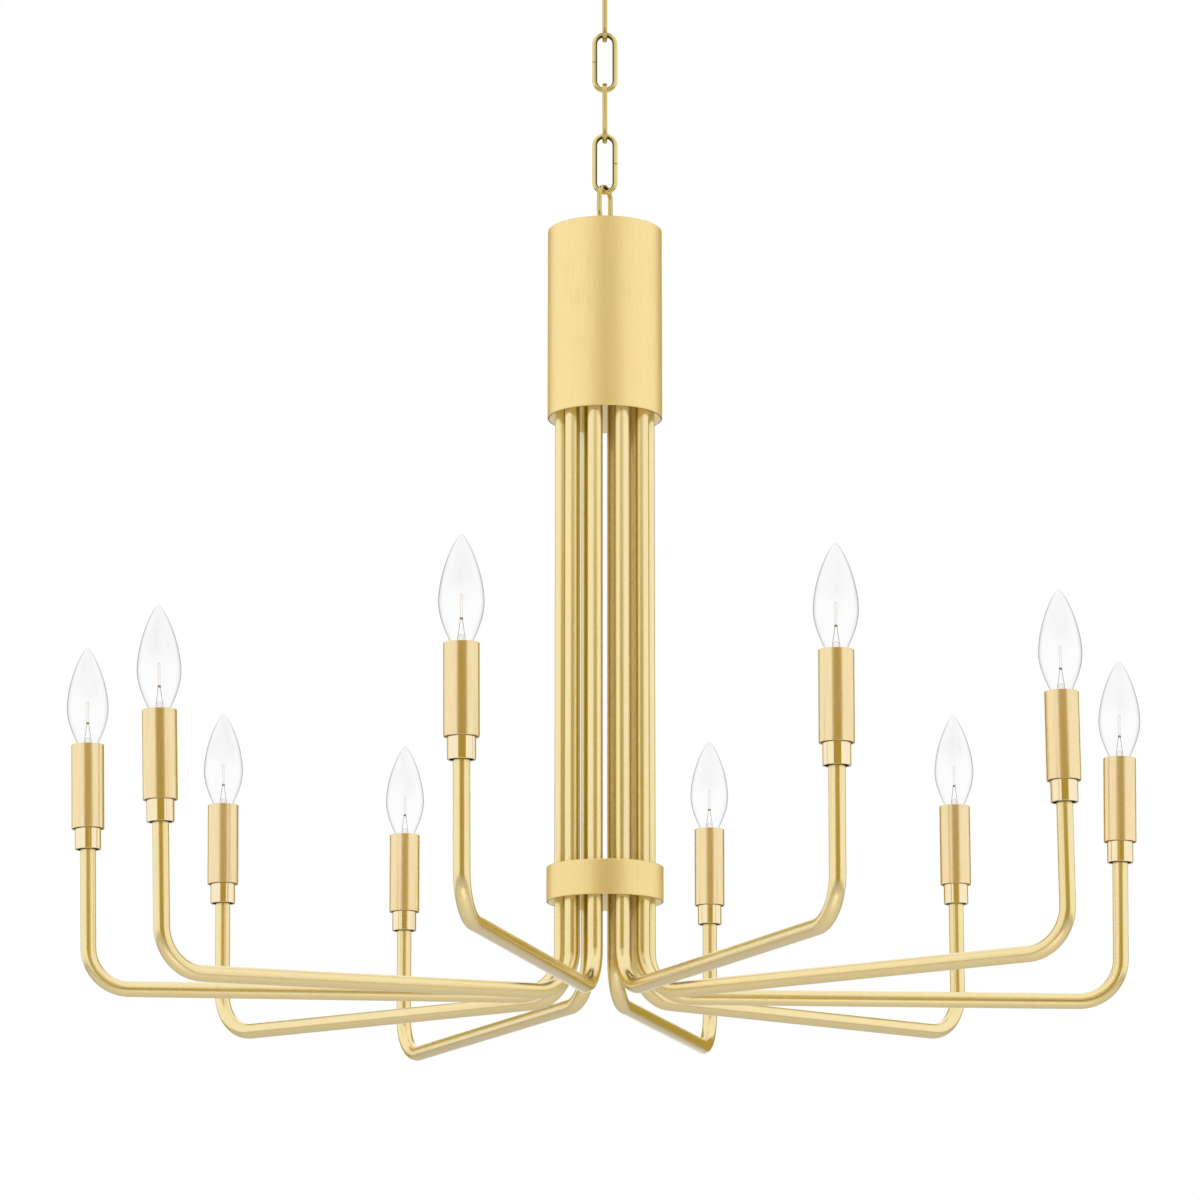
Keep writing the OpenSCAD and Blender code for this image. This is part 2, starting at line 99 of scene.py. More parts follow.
def dot(tree, first, second):
    """How far two directions agree, as a number."""
    values = {0: first, 1: second}
    return add(tree, "ShaderNodeVectorMath", values, operation="DOT_PRODUCT").outputs["Value"]


def coords(tree, space):
    """A point's place or normal in one of the object's own spaces."""
    return add(tree, "ShaderNodeTexCoord").outputs[space]


def upright(tree, value):
    """The Z of a vector."""
    return add(tree, "ShaderNodeSeparateXYZ", {"Vector": value}).outputs["Z"]


def remap(tree, value, low, high, to_low, to_high):
    """A number carried from one range to another, and held at its ends."""
    ranges = {"From Min": low, "From Max": high, "To Min": to_low, "To Max": to_high}
    return add(tree, "ShaderNodeMapRange", {"Value": value, **ranges}).outputs["Result"]


def blend_color(tree, amount, first, second):
    """A colour mix. Each colour is an (r, g, b) or another node's output."""
    node = add(tree, "ShaderNodeMix", {"Factor": amount}, data_type="RGBA")
    for slot, value in ((6, first), (7, second)):
        if hasattr(value, "is_output"):
            tree.links.new(value, node.inputs[slot])
        else:
            node.inputs[slot].default_value = (*value, 1)
    return node.outputs[2]


def grain(tree, scale, stretch, detail, space="Object"):
    """Noise stretched along the axes of the object, or round and along a tube."""
    mapping = add(tree, "ShaderNodeMapping", {"Vector": coords(tree, space), "Scale": stretch})
    noise = {"Vector": mapping.outputs["Vector"], "Scale": scale, "Detail": detail}
    return add(tree, "ShaderNodeTexNoise", {**noise, "Roughness": 0.6}).outputs["Fac"]


def new_material(name):
    """An empty material and its node tree."""
    mat = bpy.data.materials.new(name)
    mat.use_nodes = True
    mat.node_tree.nodes.clear()
    return mat, mat.node_tree


def show(tree, shader):
    """Makes a shader node the material's surface."""
    add(tree, "ShaderNodeOutputMaterial", {"Surface": shader.outputs[0]})


# ---------------------------------------------------------------- masks


def underside(tree):
    """Mask for faces that look straight down, where painted shade goes."""
    return number(tree, "LESS_THAN", upright(tree, coords(tree, "Normal")), -0.95)


def inner_wall(tree):
    """Mask for the inside walls of an upright shell round Z."""
    radial = vector(tree, "NORMALIZE", vector(tree, "MULTIPLY", coords(tree, "Object"), (1, 1, 0)))
    return number(tree, "LESS_THAN", dot(tree, radial, coords(tree, "Normal")), -0.5)


def inner_side(tree, place, half):
    """Mask for the side of a long link that faces its own upright middle line, where painted shade
    goes.

    The place is counted from the link's centre, and the line is as long as its straight legs."""
    near = vector(tree, "MAXIMUM", place, (0, 0, -half))
    near = vector(tree, "MINIMUM", near, (0, 0, half))
    level = vector(tree, "MULTIPLY", near, (0, 0, 1))
    away = vector(tree, "NORMALIZE", vector(tree, "SUBTRACT", place, level))
    return remap(tree, dot(tree, away, coords(tree, "Normal")), 0.0, -0.3, 0.0, 1.0)


def butt_cut(tree, place, leg):
    """Mask for the fine line where a link's ends meet, half way up the leg on one side."""
    half_width = 0.0003
    away = number(tree, "ABSOLUTE", upright(tree, place))
    line = number(tree, "LESS_THAN", away, half_width)
    side = number(tree, "GREATER_THAN", dot(tree, place, leg), 0.0)
    return number(tree, "MULTIPLY", line, side)


def crowded(tree):
    """Mask for the places where other pieces stand close in front of the surface, where painted
    shade goes.
    """
    reach = 0.07
    sky = add(tree, "ShaderNodeAmbientOcclusion", {"Distance": reach}, samples=8).outputs["AO"]
    return remap(tree, sky, 0.75, 0.3, 0.0, 1.0)


# ---------------------------------------------------------------- materials

EVEN = (1.0, 1.0, 1.0)
BRASS = (0.99, 0.795, 0.365)
CHAIN_DEEP = (0.62, 0.49, 0.115)
# The chain's brass painted paler, as lit, for the links that face the camera: painted light.
CHAIN_PAINTED_LIT = (0.80, 0.645, 0.19)
# Painted shade on the inner side of each link, and the dark line where its ends meet.
LINK_SHADE_AND_CUT = (0.08, 0.055, 0.012)
# Painted shade on the faces that look down.
UNDERSIDE_SHADE = (0.06, 0.04, 0.015)
# Painted light: the inner walls of the shells are painted pale and made to glow.
INNER_PAINTED_LIGHT = (0.95, 0.86, 0.64)
INNER_PAINTED_GLOW = 0.29
COAT_IOR = 1.8
GLASS_CLEAR = (0.99, 0.991, 0.992)
# Painted shade, grey and streaked, in the front middle of a bulb's upper half.
GLASS_PAINTED_SHADE = (0.915, 0.918, 0.922)


def metal(
    name,
    color,
    rough,
    stretch=EVEN,
    streak=0.05,
    bump=0.02,
    vary=0.03,
    space="Object",
    coat=0.0,
    coat_rough=0.12,
    shell_light_and_shade=False,
    shade_below=False,
    link=None,
    gap_shade=None,
):
    """Brushed or satin metal: fine stretched grain over broad, faint changes of tone.

    A shell metal has its inner walls painted pale and glowing as painted light, and its lower edge
    painted dark as painted shade. One with painted shade below is dark on the faces that look
    down.
    A link is given by its centre, half the length of its straight legs, and the side on which its
    ends
    meet: its inner side is painted dark as painted shade, and the line of that cut is a dark
    joint. The gap shade is the painted shade where other pieces stand close."""
    mat, tree = new_material(name)
    fine = grain(tree, 900.0, stretch, 5.0, space)
    broad = grain(tree, 14.0, EVEN, 2.0)
    dark = [c * (1 - 2.4 * streak) for c in color]
    warm = [c * k for c, k in zip(color, (1.0, 0.97, 0.9))]
    tone = blend_color(tree, remap(tree, fine, 0.35, 0.7, 0.0, 1.0), color, dark)
    tone = blend_color(tree, remap(tree, broad, 0.4, 0.7, 0.0, 0.6), tone, warm)
    bumps = add(tree, "ShaderNodeBump", {"Height": fine, "Strength": bump, "Distance": 0.0003})
    surface = {
        "Metallic": 1.0,
        "Roughness": remap(tree, fine, 0.3, 0.7, rough - vary, rough + vary),
        "Normal": bumps.outputs["Normal"],
        "Coat Weight": coat,
        "Coat Roughness": coat_rough,
        "Coat IOR": COAT_IOR,
    }
    if shell_light_and_shade:
        # Painted light: inside walls painted pale, and glowing though they are no lamp.
        inside = inner_wall(tree)
        tone = blend_color(tree, inside, tone, INNER_PAINTED_LIGHT)
        surface["Metallic"] = remap(tree, inside, 0.0, 1.0, 1.0, 0.2)
        surface["Emission Color"] = (*INNER_PAINTED_LIGHT, 1)
        surface["Emission Strength"] = remap(tree, inside, 0.0, 1.0, 0.0, INNER_PAINTED_GLOW)
    if shell_light_and_shade or shade_below:
        # Painted shade on the faces that look down.
        tone = blend_color(tree, underside(tree), tone, UNDERSIDE_SHADE)
    if link:
        centre, half, leg = link
        place = vector(tree, "SUBTRACT", coords(tree, "Object"), centre)
        # Painted shade on the link's inner side; the line where its ends meet is a dark joint.
        masks = inner_side(tree, place, half), butt_cut(tree, place, leg)
        dull = number(tree, "MAXIMUM", *masks)
        tone = blend_color(tree, dull, tone, LINK_SHADE_AND_CUT)
        surface["Coat Weight"] = remap(tree, dull, 0.0, 1.0, coat, 0.1)
    if gap_shade:
        # Painted shade where other pieces stand close.
        tone = blend_color(tree, crowded(tree), tone, gap_shade)
    show(tree, add(tree, "ShaderNodeBsdfPrincipled", {"Base Color": tone, **surface}))
    return mat


def plain(name, color, rough, speckle=0.05, coat=0.0):
    """Ceramic, plastic or paint with a faint mottle."""
    mat, tree = new_material(name)
    spots = grain(tree, 300.0, EVEN, 3.0)
    dull = [c * (1 - 2 * speckle) for c in color]
    surface = {
        "Base Color": blend_color(tree, remap(tree, spots, 0.35, 0.65, 0.0, 1.0), color, dull),
        "Roughness": remap(tree, spots, 0.3, 0.7, rough - 0.05, rough + 0.05),
        "Coat Weight": coat,
    }
    show(tree, add(tree, "ShaderNodeBsdfPrincipled", surface))
    return mat


def clear_glass(name, edge, power, gloss):
    """Thin clear glass: it lets light straight through, and has the edge colour painted at its
    very edge as painted rim shade.

    Its upper half is faintly grey and streaked with painted shade in the middle of its front, and
    its front keeps a sheen."""
    mat, tree = new_material(name)
    facing = add(tree, "ShaderNodeLayerWeight", {"Blend": 0.5}).outputs["Facing"]
    waves = remap(tree, grain(tree, 60.0, (1.0, 1.0, 0.4), 2.0), 0.3, 0.7, 0.85, 1.1)
    # Painted rim shade: the edge colour is laid on where the glass turns away.
    rim = number(tree, "MULTIPLY", number(tree, "POWER", facing, power), waves)
    # Painted shade, faintly grey and streaked, in the front middle of the upper half.
    grey = remap(tree, upright(tree, coords(tree, "Generated")), 0.4, 0.65, 0.0, 1.0)
    streaks = remap(tree, grain(tree, 110.0, (1.0, 1.0, 0.06), 2.0), 0.4, 0.7, 0.35, 1.0)
    middle = remap(tree, facing, 0.05, 0.5, 1.0, 0.0)
    for part in (streaks, middle):
        grey = number(tree, "MULTIPLY", grey, part)
    tone = blend_color(tree, rim, blend_color(tree, grey, GLASS_CLEAR, GLASS_PAINTED_SHADE), edge)
    through = add(tree, "ShaderNodeBsdfTransparent", {"Color": tone})

    sheen = add(tree, "ShaderNodeBsdfGlossy", {"Color": (1, 1, 1, 1), "Roughness": 0.03})
    slant = remap(tree, number(tree, "POWER", facing, 5.0), 0.0, 1.0, 0.04, 0.6)
    back = add(tree, "ShaderNodeNewGeometry").outputs["Backfacing"]
    amount = number(tree, "MULTIPLY", slant, remap(tree, back, 0.0, 1.0, gloss, 0.0))
    parts = {0: amount, 1: through.outputs["BSDF"], 2: sheen.outputs["BSDF"]}
    show(tree, add(tree, "ShaderNodeMixShader", parts))
    return mat


def chain_metal(name, color, link=None):
    """The smooth, coated wire of the chain and its loops."""
    return metal(name, color, 0.16, streak=0.02, bump=0.01, vary=0.02, coat=1.0, link=link)


MATS = {
    "body": metal(
        "brass_body",
        BRASS,
        0.44,
        stretch=(1.0, 1.0, 0.05),
        streak=0.03,
        bump=0.025,
        shell_light_and_shade=True,
        coat=0.2,
        coat_rough=0.3,
    ),
    "tube": metal(
        "brass_tube",
        (0.93, 0.765, 0.38),
        0.25,
        stretch=(1.0, 0.03, 1.0),
        streak=0.012,
        bump=0.004,
        vary=0.012,
        space="UV",
        coat=0.8,
        coat_rough=0.2,
        # Painted shade in the gaps between the tubes.
        gap_shade=(0.70, 0.555, 0.17),
    ),
    "sleeve": metal(
        "brass_sleeve",
        (0.95, 0.765, 0.45),
        0.25,
        stretch=(1.0, 1.0, 0.04),
        streak=0.04,
        bump=0.03,
        shade_below=True,
    ),
    "cup": metal(
        "brass_cup",
        (0.97, 0.83, 0.57),
        0.12,
        stretch=(0.3, 0.3, 2.0),
        streak=0.02,
        bump=0.015,
        vary=0.02,
        shade_below=True,
    ),
    "raw": metal("brass_raw", (0.80, 0.62, 0.30), 0.3, (1.0, 1.0, 3.0), streak=0.06, bump=0.05),
    "zinc": metal("zinc_steel", (0.62, 0.63, 0.64), 0.38, streak=0.08, bump=0.04),
    "green": plain("ground_green", (0.05, 0.28, 0.10), 0.4, speckle=0.1, coat=0.3),
    "ceramic": plain("socket_ceramic", (0.80, 0.78, 0.72), 0.55, speckle=0.04),
    "lead": plain("lead_white", (0.78, 0.78, 0.74), 0.35, speckle=0.03, coat=0.2),
    # The edge colours are painted rim shade.
    "glass": clear_glass("bulb_glass", edge=(0.05, 0.052, 0.055), power=5.0, gloss=0.5),
    "stem": clear_glass("stem_glass", edge=(0.60, 0.46, 0.34), power=1.6, gloss=0.8),
    "wire": metal("bulb_wire", (0.38, 0.29, 0.21), 0.35),
    "filament": metal("bulb_filament", (0.86, 0.62, 0.46), 0.4),
}


# ---------------------------------------------------------------- mesh helpers


def put(name, data):
    """A new object in the scene."""
    obj = bpy.data.objects.new(name, data)
    scene.collection.objects.link(obj)
    return obj


def frame_of(origin, axis):
    """A matrix that stands +Z on the axis at the origin."""
    turn = Vector((0, 0, 1)).rotation_difference(axis)
    return Matrix.Translation(origin) @ turn.to_matrix().to_4x4()


def finish_mesh(bm, name, mat, matrix, body, smooth=40.0):
    """Makes a visible piece that rides a body, shaded smooth up to an edge angle in degrees."""
    bmesh.ops.recalc_face_normals(bm, faces=bm.faces)
    mesh = bpy.data.meshes.new(name)
    bm.to_mesh(mesh)
    bm.free()
    mesh.transform(matrix)
    mesh.materials.append(MATS[mat])
    mesh.shade_smooth()
    mesh.set_sharp_from_angle(angle=math.radians(smooth))
    obj = put(name, mesh)
    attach(obj, body)
    return obj


def lathe(bm, profile, segments, closed=False, lift=None):
    """Turns a list of (radius, height) round Z. A radius of nothing makes a pole.

    Where there is a lift, it gives each point's extra height from its angle, radius and height."""
    rings = []
    for r, z in profile:
        if r <= 1e-7:
            rings.append([bm.verts.new((0, 0, z))])
            continue
        ring = []
        for i in range(segments):
            a = 2 * math.pi * i / segments
            dz = lift(a, r, z) if lift else 0.0
            ring.append(bm.verts.new((r * math.cos(a), r * math.sin(a), z + dz)))
        rings.append(ring)
    pairs = list(zip(rings, rings[1:]))
    if closed:
        pairs.append((rings[-1], rings[0]))
    for a, b in pairs:
        for i in range(segments):
            j = (i + 1) % segments
            if len(a) == 1 and len(b) == 1:
                continue
            if len(a) == 1:
                bm.faces.new((a[0], b[j], b[i]))
            elif len(b) == 1:
                bm.faces.new((a[i], a[j], b[0]))
            else:
                bm.faces.new((a[i], a[j], b[j], b[i]))


def ring_at(bm, centre, side, over, radius, segments):
    """A ring of points round a centre, in the plane of two unit vectors."""
    ring = []
    for i in range(segments):
        a = 2 * math.pi * i / segments
        point = centre + side * (radius * math.cos(a)) + over * (radius * math.sin(a))
        ring.append(bm.verts.new(point))
    return ring


def heading(path, k):
    """The direction of a path at its point k."""
    return (path[min(k + 1, len(path) - 1)] - path[max(k - 1, 0)]).normalized()


def rod(bm, path, radius, segments=10):
    """A round wire along a path, closed at both ends."""
    rings = []
    for k, point in enumerate(path):
        along = heading(path, k)
        side = along.cross(Vector((0, 1, 0)))
        if side.length < 1e-4:
            side = along.cross(Vector((1, 0, 0)))
        side.normalize()
        rings.append(ring_at(bm, point, side, side.cross(along), radius, segments))
    for a, b in zip(rings, rings[1:]):
        for i in range(segments):
            j = (i + 1) % segments
            bm.faces.new((a[i], a[j], b[j], b[i]))
    for ring in (rings[0], rings[-1]):
        bm.faces.new(ring)


def tube(bm, path, radius, segments=40):
    """A tube along a path that lies in one upright plane, closed at its ends.

    Its texture coordinates are metres round it and metres along it."""
    lay = bm.loops.layers.uv.new("UVMap")
    reach = [0.0]
    for a, b in zip(path, path[1:]):
        reach.append(reach[-1] + (b - a).length)
    side = (path[1] - path[0]).cross(path[-2] - path[-3]).normalized()
    rings = []
    for k, point in enumerate(path):
        over = side.cross(heading(path, k))
        rings.append(ring_at(bm, point, side, over, radius, segments))
    for k, (a, b) in enumerate(zip(rings, rings[1:])):
        for i in range(segments):
            j = (i + 1) % segments
            face = bm.faces.new((a[i], a[j], b[j], b[i]))
            corners = ((i, k), (i + 1, k), (i + 1, k + 1), (i, k + 1))
            for loop, (step, row) in zip(face.loops, corners):
                loop[lay].uv = (2 * math.pi * radius * step / segments, reach[row])
    for ring in (rings[0], rings[-1]):
        bm.faces.new(ring)


def filleted(corners, radius, steps=20):
    """A path in one plane through corners, with an arc of a radius at each inner corner."""
    path = [corners[0]]
    for before, corner, after in zip(corners, corners[1:], corners[2:]):
        back = (before - corner).normalized()
        ahead = (after - corner).normalized()
        half = back.angle(ahead) / 2
        centre = corner + (back + ahead).normalized() * (radius / math.sin(half))
        first = corner + back * (radius / math.tan(half)) - centre
        normal = back.cross(ahead).normalized()
        turn = -(math.pi - 2 * half)
        for i in range(steps + 1):
            path.append(centre + Matrix.Rotation(turn * i / steps, 3, normal) @ first)
    return path + [corners[-1]]


def soften(profile, size=0.35):
    """Cuts a small bevel at each corner of a closed profile of (radius, height)."""
    out = []
    for k, corner in enumerate(profile):
        here = Vector(corner)
        for other in (profile[k - 1], profile[(k + 1) % len(profile)]):
            step = Vector(other) - here
            cut = here + step.normalized() * min(size, step.length / 3)
            out.append((cut.x, cut.y))
    return out


# ---------------------------------------------------------------- CAD pieces as they are


def soft_edges():
    """A modifier tree that joins the CAD mesh's split points and smooths it up to an angle."""
    group = bpy.data.node_groups.new("soft_edges", "GeometryNodeTree")
    for way in ("INPUT", "OUTPUT"):
        group.interface.new_socket("Geometry", in_out=way, socket_type="NodeSocketGeometry")
    start = add(group, "NodeGroupInput")
    joining = {"Geometry": start.outputs[0], "Distance": 0.000005}
    joined = add(group, "GeometryNodeMergeByDistance", joining)
    smooth = add(
        group, "GeometryNodeSetShadeSmooth", {"Geometry": joined.outputs[0]}, domain="FACE"
    )
    angle = add(group, "GeometryNodeInputMeshEdgeAngle").outputs["Unsigned Angle"]
    limit = {0: angle, 1: math.radians(28)}
    sharp = add(group, "FunctionNodeCompare", limit, operation="GREATER_THAN")
    keeping = {"Geometry": smooth.outputs[0], "Selection": sharp.outputs[0], "Shade Smooth": False}
    edges = add(group, "GeometryNodeSetShadeSmooth", keeping, domain="EDGE")
    add(group, "NodeGroupOutput", {0: edges.outputs[0]})
    return group


SOFT_EDGES = soft_edges()


def dress(node, mat):
    """Shows a CAD node with a material and with soft shading over its curved faces."""
    obj = NODES[node]
    obj.data.materials.clear()
    obj.data.materials.append(mat)
    obj.modifiers.new("soft_edges", "NODES").node_group = SOFT_EDGES


def link_shape(node):
    """A link's centre, and half the length of its straight legs."""
    corners = [Vector(c) for c in NODES[node].bound_box]
    size = corners[6] - corners[0]
    return sum(corners, Vector()) / 8, (size.z - max(size.x, size.y)) / 2


for node in ("column_housing", "lower_ring", "canopy", "collar_ring"):
    dress(node, MATS["body"])
# The side of each link on which its ends meet. The links that face the camera get the chain colour
# painted paler, as lit: painted light.
LINK_CUTS = ((0, 1, 0), (-1, 0, 0), (0, 1, 0), (1, 0, 0))
for n, leg in enumerate(LINK_CUTS, 1):
    node = "chain_link_%d" % n
    # Painted light: links that face the camera take the paler, lit tone.
    color = CHAIN_PAINTED_LIT if leg[0] else CHAIN_DEEP
    dress(node, chain_metal("brass_link_%d" % n, color, (*link_shape(node), leg)))
for node in ("canopy_loop", "column_loop"):
    dress(node, chain_metal(node, CHAIN_DEEP))
for node in ("crossbar", "nipple_locknuts", "column_bracket", "column_fasteners", "tube_plate"):
    dress(node, MATS["zinc"])
for node in ("crossbar_nipple", "column_nipple", "tube_locknuts"):
    dress(node, MATS["raw"])
dress("ground_screw", MATS["green"])
dress("housing_leads", MATS["lead"])
for n in ARMS:
    dress("socket_%d" % n, MATS["ceramic"])


# ---------------------------------------------------------------- arms, in millimetres

TUBE_R = 6.75
BEND_R = 37.0
CANDLE_H = 138.5  # from the arm's corner up to the sleeve's lower end
CUP_R = 11.3
CUP_WALL = 1.5
CUP_ROOF = 4.0
CUP_H = 18.0  # below the sleeve's lower end
WIRE_WAY_R = 3.25
NIPPLE_R = 4.9
NIPPLE_H = 12.0
SLEEVE_R = 14.15
SLEEVE_WALL = 1.2
SLEEVE_H = 73.5
SEAT_H = 2.0  # from the sleeve's lower end up to the cup's top face, which carries its seat
SEAT_WALL = 1.5
SEAT_HOLE_R = 5.0


def make_arm(n):
    """The bent tube with its turned cup, its nipple and the candle sleeve."""
    joint = JOINTS["bulb_%d_unscrew" % n]
    axis = Vector(joint["axis"]).normalized()
    corner = Vector(joint["pos_m"]) - axis * ((CANDLE_H + SLEEVE_H) * MM)
    hub = Vector(JOINTS["arm_%d_swivel" % n]["pos_m"])
    top = Vector((hub.x, hub.y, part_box("arm_%d" % n)[1].z))
    cup_top = corner + axis * ((CANDLE_H + 1) * MM)

    bm = bmesh.new()
    tube(bm, filleted([top, hub, corner, cup_top], BEND_R * MM), TUBE_R * MM)
    pipe = finish_mesh(bm, "arm_tube_%d" % n, "tube", Matrix(), "arm_%d" % n)
    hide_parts("arm_%d" % n)

    stand = frame_of(corner, axis) @ Matrix.Scale(MM, 4)
    face = CANDLE_H + SEAT_H
    roof = face - CUP_ROOF
    low = CANDLE_H - CUP_H
    bm = bmesh.new()
    profile = [(CUP_R, low), (CUP_R, face), (WIRE_WAY_R, face), (WIRE_WAY_R, roof)]
    profile += [(CUP_R - CUP_WALL, roof), (CUP_R - CUP_WALL, low)]
    lathe(bm, soften(profile), 56, closed=True)
    cup = finish_mesh(bm, "arm_cup_%d" % n, "cup", stand, "arm_%d" % n, 30.0)

    bm = bmesh.new()
    high = face + NIPPLE_H
    profile = [(NIPPLE_R, face), (NIPPLE_R, high), (WIRE_WAY_R, high), (WIRE_WAY_R, face)]
    lathe(bm, soften(profile), 24, closed=True)
    nipple = finish_mesh(bm, "arm_nipple_%d" % n, "raw", stand, "arm_%d" % n, 30.0)

    bm = bmesh.new()
    inner = SLEEVE_R - SLEEVE_WALL
    high = CANDLE_H + SLEEVE_H
    seat = face + SEAT_WALL
    profile = [(SLEEVE_R, CANDLE_H), (SLEEVE_R, high), (inner, high), (inner, seat)]
    profile += [(SEAT_HOLE_R, seat), (SEAT_HOLE_R, face), (inner, face), (inner, CANDLE_H)]
    lathe(bm, soften(profile, 0.25), 64, closed=True)
    sleeve = finish_mesh(bm, "candle_tube_%d" % n, "sleeve", stand, "arm_%d" % n, 30.0)
    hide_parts("candle_sleeve_%d" % n)


for n in ARMS:
    make_arm(n)


# ---------------------------------------------------------------- bulbs, in millimetres

# Heights are counted from the sleeve's top.
BELLY_H = 33.0
NECK_SHARE = 0.466  # the neck's radius as a share of the belly's
BASE_TOP = -3.0
BASE_LOW = -23.0
BASE_R = 5.85
THREAD_R = 5.6
THREAD_DEPTH = 0.24
THREAD_TURNS = 6
THREAD_LENGTH = 16.5
THREAD_STEPS = 10
THREAD_ZONE = (-21.5, -5.3)
CAP = [(5.0, 0.6), (2.7, -2.6), (1.7, -3.4), (1.5, -4.0), (0.0, -4.0)]  # from the base's lower end
STEM = [(0.0, -2.8), (5.6, -2.8), (3.4, -0.5), (2.3, 1.5)]
STEM += [(1.9, 4.0), (2.3, 5.6), (1.2, 6.8), (0.0, 7.0)]
BEAD = [(0.0, 18.4), (1.1, 18.8), (1.5, 19.5), (1.1, 20.2), (0.0, 20.6)]
SUPPORT = ((2.6, 0.0), (2.9, 4.0), (2.3, 8.0), (1.3, 15.0), (0.9, 19.5))
SUPPORT_R = 0.22
COIL_LOW = 19.5
COIL_H = 18.0
COIL_R = 0.28
COIL_APART = 0.75  # each coil's distance from the middle
COIL_STEPS = 120
COIL_STEPS_A_TURN = 8
COIL_WIRE_R = 0.1
ARCH = ((-0.75, 0.0), (-0.4, 0.8), (0.0, 1.1), (0.4, 0.8), (0.75, 0.0))  # over the two coils
ARCH_R = 0.16


def bulb_radius(z, belly, neck, tip):
    """Radius of the glass at a height."""
    if z < BELLY_H:
        return neck + (belly - neck) * math.cos(math.radians(90 * (BELLY_H - z) / BELLY_H))
    return belly * max(1 - ((z - BELLY_H) / (tip - BELLY_H)) ** 1.7, 0) ** 0.8


def bulb_profile(belly, neck, tip, steps=36):
    """The glass from the sleeve's top to its tip, with its points closer together at the tip."""
    points = []
    for i in range(2 * steps):
        t = i / steps
        z = t * BELLY_H
        if t >= 1:
            z = BELLY_H + (tip - BELLY_H) * math.sin(math.radians(90 * (t - 1)))
        points.append((bulb_radius(z, belly, neck, tip), z))
    return points + [(0.0, tip)]


def thread_lift(a, r, z):
    """Turns the grooves of the base into a screw thread."""
    if THREAD_ZONE[0] < z < THREAD_ZONE[1] and r < BASE_R:
        return -a / (2 * math.pi) * THREAD_LENGTH / THREAD_TURNS
    return 0.0


def base_profile(neck):
    """The base: a shoulder under the glass, the grooves of its thread and the contact."""
    profile = [(0.0, BASE_TOP - 0.1), (neck - 0.2, BASE_TOP - 0.1)]
    profile += [(BASE_R, BASE_TOP - 1.2), (BASE_R, BASE_TOP - 2.2)]
    steps = THREAD_TURNS * THREAD_STEPS
    for i in range(steps):
        r = THREAD_R + THREAD_DEPTH * math.cos(2 * math.pi * i / THREAD_STEPS)
        profile.append((r, BASE_TOP - 2.4 - i * THREAD_LENGTH / steps))
    return profile + [(r, BASE_LOW + z) for r, z in CAP]


def coil_path(side):
    """One of the two upright coils of the filament."""
    path = []
    for i in range(COIL_STEPS + 1):
        a = 2 * math.pi * i / COIL_STEPS_A_TURN
        x = side * COIL_APART + COIL_R * math.cos(a)
        path.append(Vector((x, COIL_R * math.sin(a), COIL_LOW + COIL_H * i / COIL_STEPS)))
    return path


def make_bulb(n):
    """The glass, the screw base, the stem, the support wires with their bead, and the filament."""
    joint = JOINTS["bulb_%d_unscrew" % n]
    origin, axis = Vector(joint["pos_m"]), Vector(joint["axis"]).normalized()
    low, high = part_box("bulb_%d" % n)
    edges = [(low[k], high[k]) for k in range(3)]
    corners = [Vector((x, y, z)) for x in edges[0] for y in edges[1] for z in edges[2]]
    tip = max((c - origin).dot(axis) for c in corners) / MM
    belly = min(high.x - low.x, high.y - low.y) / 2 / MM
    neck = belly * NECK_SHARE
    stand = frame_of(origin, axis) @ Matrix.Scale(MM, 4)

    bm = bmesh.new()
    lathe(bm, [(neck, BASE_TOP)] + bulb_profile(belly, neck, tip), 72)
    glass = finish_mesh(bm, "bulb_glass_%d" % n, "glass", stand, "bulb_%d" % n, 60.0)
    glass.visible_shadow = False

    bm = bmesh.new()
    lathe(bm, base_profile(neck), 40, lift=thread_lift)
    finish_mesh(bm, "bulb_base_%d" % n, "raw", stand, "bulb_%d" % n)

    bm = bmesh.new()
    lathe(bm, STEM, 32)
    finish_mesh(bm, "bulb_stem_%d" % n, "stem", stand, "bulb_%d" % n, 60.0)

    bm = bmesh.new()
    for side in (-1, 1):
        rod(bm, [Vector((side * x, 0, z)) for x, z in SUPPORT], SUPPORT_R)
    lathe(bm, BEAD, 20)
    finish_mesh(bm, "bulb_wires_%d" % n, "wire", stand, "bulb_%d" % n)

    bm = bmesh.new()
    for side in (-1, 1):
        rod(bm, coil_path(side), COIL_WIRE_R, 5)
    rod(bm, [Vector((x, 0, COIL_LOW + COIL_H + z)) for x, z in ARCH], ARCH_R, 6)
    finish_mesh(bm, "bulb_filament_%d" % n, "filament", stand, "bulb_%d" % n)
    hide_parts("bulb_%d" % n)


for n in ARMS:
    make_bulb(n)


# ---------------------------------------------------------------- studio

FLOOR_DROP = 1.1
FLOOR_SIDE = 14
BOARD_AWAY = 5.2
SKY_GLOW = 0.55  # what the white surroundings give to surfaces that don't mirror them

low, high = (Vector(c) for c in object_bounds())
middle = (low + high) / 2


